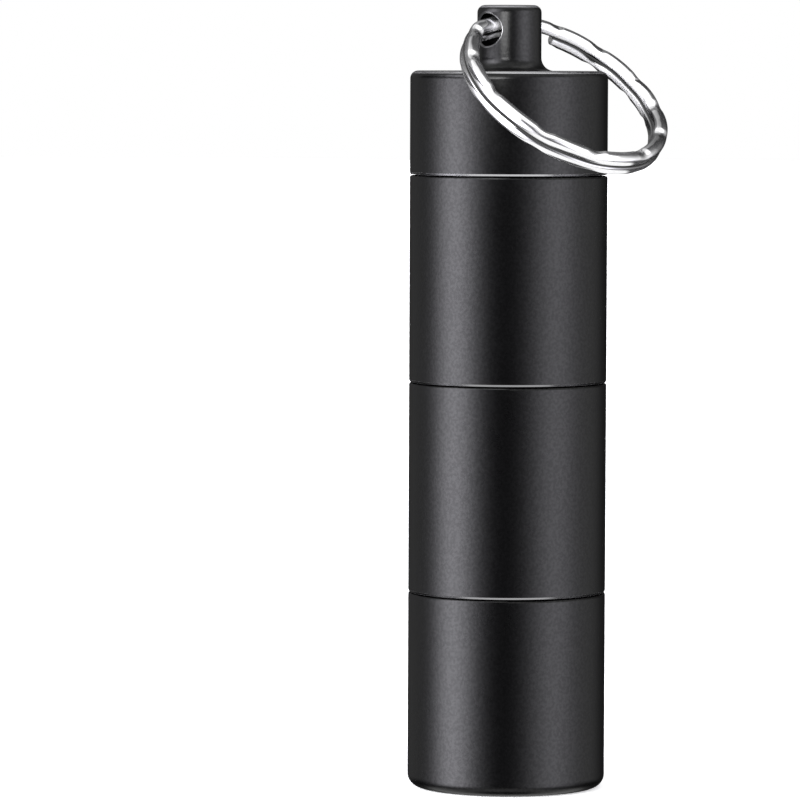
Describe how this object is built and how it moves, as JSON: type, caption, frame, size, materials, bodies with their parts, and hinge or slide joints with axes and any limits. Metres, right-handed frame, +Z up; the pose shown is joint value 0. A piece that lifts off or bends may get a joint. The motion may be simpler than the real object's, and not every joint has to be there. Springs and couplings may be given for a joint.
{
  "type": "pill fob keychain",
  "caption": "Slim turned metal pill holder: stacked screw-together cups with sealed threaded necks, a screw cap with a cross-drilled knob, and a split key ring through the knob.",
  "frame": {"origin": "centre of the flat base the fob stands on", "axes": "+Z up along the axis of the stacked cups, -Y towards the front; the ring hangs to the front right"},
  "size_m": [0.0294, 0.0295, 0.0891],
  "materials": {
    "anodised_shell": "bead-blasted, black anodised, satin",
    "seal_rubber": "smooth black nitrile",
    "plated_ring": "bright nickel-plated spring steel"
  },
  "bodies": {
    "lower_cup": {"lower_pill_cup": "anodised_shell"},
    "lower_seal": {"lower_seal_ring": "seal_rubber"},
    "middle_cup": {"middle_pill_cup": "anodised_shell"},
    "middle_seal": {"middle_seal_ring": "seal_rubber"},
    "upper_cup": {"upper_pill_cup": "anodised_shell"},
    "upper_seal": {"upper_seal_ring": "seal_rubber"},
    "cap": {"cap": "anodised_shell"},
    "key_ring": {"split_ring": "plated_ring"}
  },
  "joints": [
    {"name": "lower_cup_unscrew_turn", "type": "hinge", "parent": "lower_cup", "child": "lower_seal", "pos_m": [0, 0, 0.0231], "axis": [0, 0, 1], "range_deg": [0, 1980]},
    {"name": "lower_cup_unscrew_lift", "type": "slide", "parent": "lower_seal", "child": "middle_cup", "axis": [0, 0, 1], "range_m": [0, 0.0069]},
    {"name": "middle_cup_unscrew_turn", "type": "hinge", "parent": "middle_cup", "child": "middle_seal", "pos_m": [0, 0, 0.04705], "axis": [0, 0, 1], "range_deg": [0, 1980]},
    {"name": "middle_cup_unscrew_lift", "type": "slide", "parent": "middle_seal", "child": "upper_cup", "axis": [0, 0, 1], "range_m": [0, 0.0069]},
    {"name": "upper_cup_unscrew_turn", "type": "hinge", "parent": "upper_cup", "child": "upper_seal", "pos_m": [0, 0, 0.07065], "axis": [0, 0, 1], "range_deg": [0, 1980]},
    {"name": "upper_cup_unscrew_lift", "type": "slide", "parent": "upper_seal", "child": "cap", "axis": [0, 0, 1], "range_m": [0, 0.0069]},
    {"name": "ring_swing", "type": "hinge", "parent": "cap", "child": "key_ring", "pos_m": [0, 0, 0.08633], "axis": [-0.7254, -0.6884, 0], "range_deg": [0, 252]}
  ],
  "couplings": [
    {"joint": "lower_cup_unscrew_lift", "follows": "lower_cup_unscrew_turn", "m_per_rad": 0.00019894},
    {"joint": "middle_cup_unscrew_lift", "follows": "middle_cup_unscrew_turn", "m_per_rad": 0.00019894},
    {"joint": "upper_cup_unscrew_lift", "follows": "upper_cup_unscrew_turn", "m_per_rad": 0.00019894}
  ]
}
